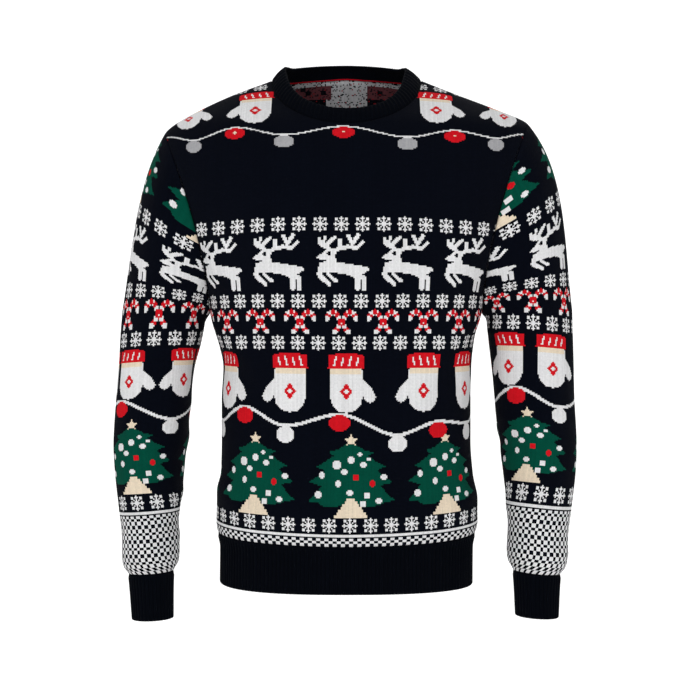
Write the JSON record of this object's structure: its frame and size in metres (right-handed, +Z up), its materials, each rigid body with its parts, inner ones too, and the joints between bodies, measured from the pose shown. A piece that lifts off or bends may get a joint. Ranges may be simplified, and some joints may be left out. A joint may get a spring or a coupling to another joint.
{
  "type": "knitted crew-neck sweater",
  "caption": "Hollow crew-neck sweater filled out as if worn, with set-in sleeves hanging at its sides and ribbed neckband, cuffs and hem; knitted bands of festive motifs on navy",
  "frame": {"origin": "midway between the two points where the shoulder seams meet the neckband, which is where the wearer's shoulders hold the sweater", "axes": "+Z up along the upright body, -Y the way the front faces, +X towards the wearer's left sleeve"},
  "size_m": [0.6222, 0.2333, 0.7545],
  "materials": {
    "knit": "matte double-faced jacquard knit, navy with white, red, green and beige motifs",
    "ribbing": "matte plain navy ribbing"
  },
  "bodies": {
    "root": {"front": "knit", "back": "knit", "sleeve_left": "knit", "sleeve_right": "knit", "neckband": "ribbing", "hem_rib_front": "ribbing", "hem_rib_back": "ribbing", "cuff_left": "ribbing", "cuff_right": "ribbing"}
  },
  "joints": []
}
